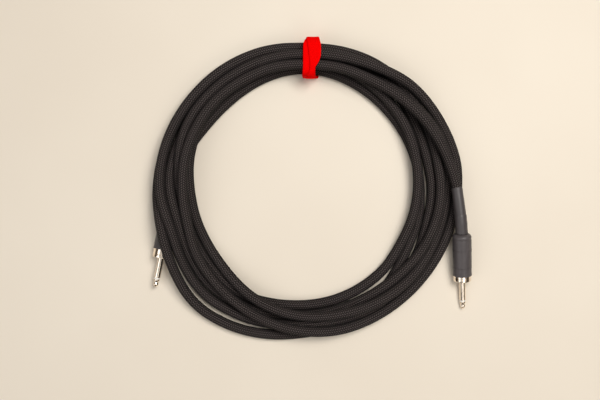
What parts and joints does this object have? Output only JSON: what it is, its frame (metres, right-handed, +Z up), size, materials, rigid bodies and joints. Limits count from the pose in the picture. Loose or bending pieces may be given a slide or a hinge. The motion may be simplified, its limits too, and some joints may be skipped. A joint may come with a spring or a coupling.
{
  "type": "instrument cable",
  "caption": "Woven instrument cable in a tied round coil, with a straight 6.35 mm mono jack plug under heat-shrink at each end and a red hook-and-loop tie.",
  "frame": {"origin": "middle of the coiled cable's footprint, on the surface it lies on", "axes": "+Z up from that surface, +Y towards the tie, both plugs point about -Y"},
  "size_m": [0.331, 0.3106, 0.0352],
  "materials": {
    "nickel": "polished nickel plate",
    "black_plastic": "moulded insulator",
    "white_plastic": "satin",
    "tinned_brass": "tinned",
    "copper": "stranded copper",
    "carbon_plastic": "conductive plastic",
    "rubber_jacket": "soft PVC",
    "solder": "bright solder",
    "heat_shrink": "satin heat-shrink",
    "woven_jacket": "braided black yarn",
    "tie_fabric": "red hook-and-loop strap"
  },
  "bodies": {
    "root": {"left_tip_contact": "nickel", "left_tip_insulator": "white_plastic", "left_sleeve": "nickel", "left_rod_tube": "white_plastic", "left_tip_lug": "tinned_brass", "left_ground_lug": "tinned_brass", "left_lug_washer": "black_plastic", "left_tail": "woven_jacket", "left_conductor": "copper", "left_insulation": "white_plastic", "left_carbon_layer": "carbon_plastic", "left_shield": "copper", "left_jacket": "rubber_jacket", "left_tip_solder": "solder", "left_ground_solder": "solder", "left_barrel_shell": "nickel", "left_barrel_liner": "white_plastic", "left_barrel_shrink": "heat_shrink", "left_boot": "heat_shrink", "left_boot_cuff": "heat_shrink", "right_tip_contact": "nickel", "right_tip_insulator": "white_plastic", "right_sleeve": "nickel", "right_rod_tube": "white_plastic", "right_tip_lug": "tinned_brass", "right_ground_lug": "tinned_brass", "right_lug_washer": "black_plastic", "right_tail": "woven_jacket", "right_conductor": "copper", "right_insulation": "white_plastic", "right_carbon_layer": "carbon_plastic", "right_shield": "copper", "right_jacket": "rubber_jacket", "right_tip_solder": "solder", "right_ground_solder": "solder", "right_barrel_shell": "nickel", "right_barrel_liner": "white_plastic", "right_barrel_shrink": "heat_shrink", "right_boot": "heat_shrink", "right_boot_cuff": "heat_shrink", "cable_coil": "woven_jacket", "tie_wrap": "tie_fabric"},
    "flap": {"tie_flap": "tie_fabric"}
  },
  "joints": [
    {"name": "flap_peel", "type": "hinge", "parent": "root", "child": "flap", "pos_m": [0.0004, 0.1515, 0.0265], "axis": [-1, 0, 0], "range_deg": [0, 150]}
  ]
}
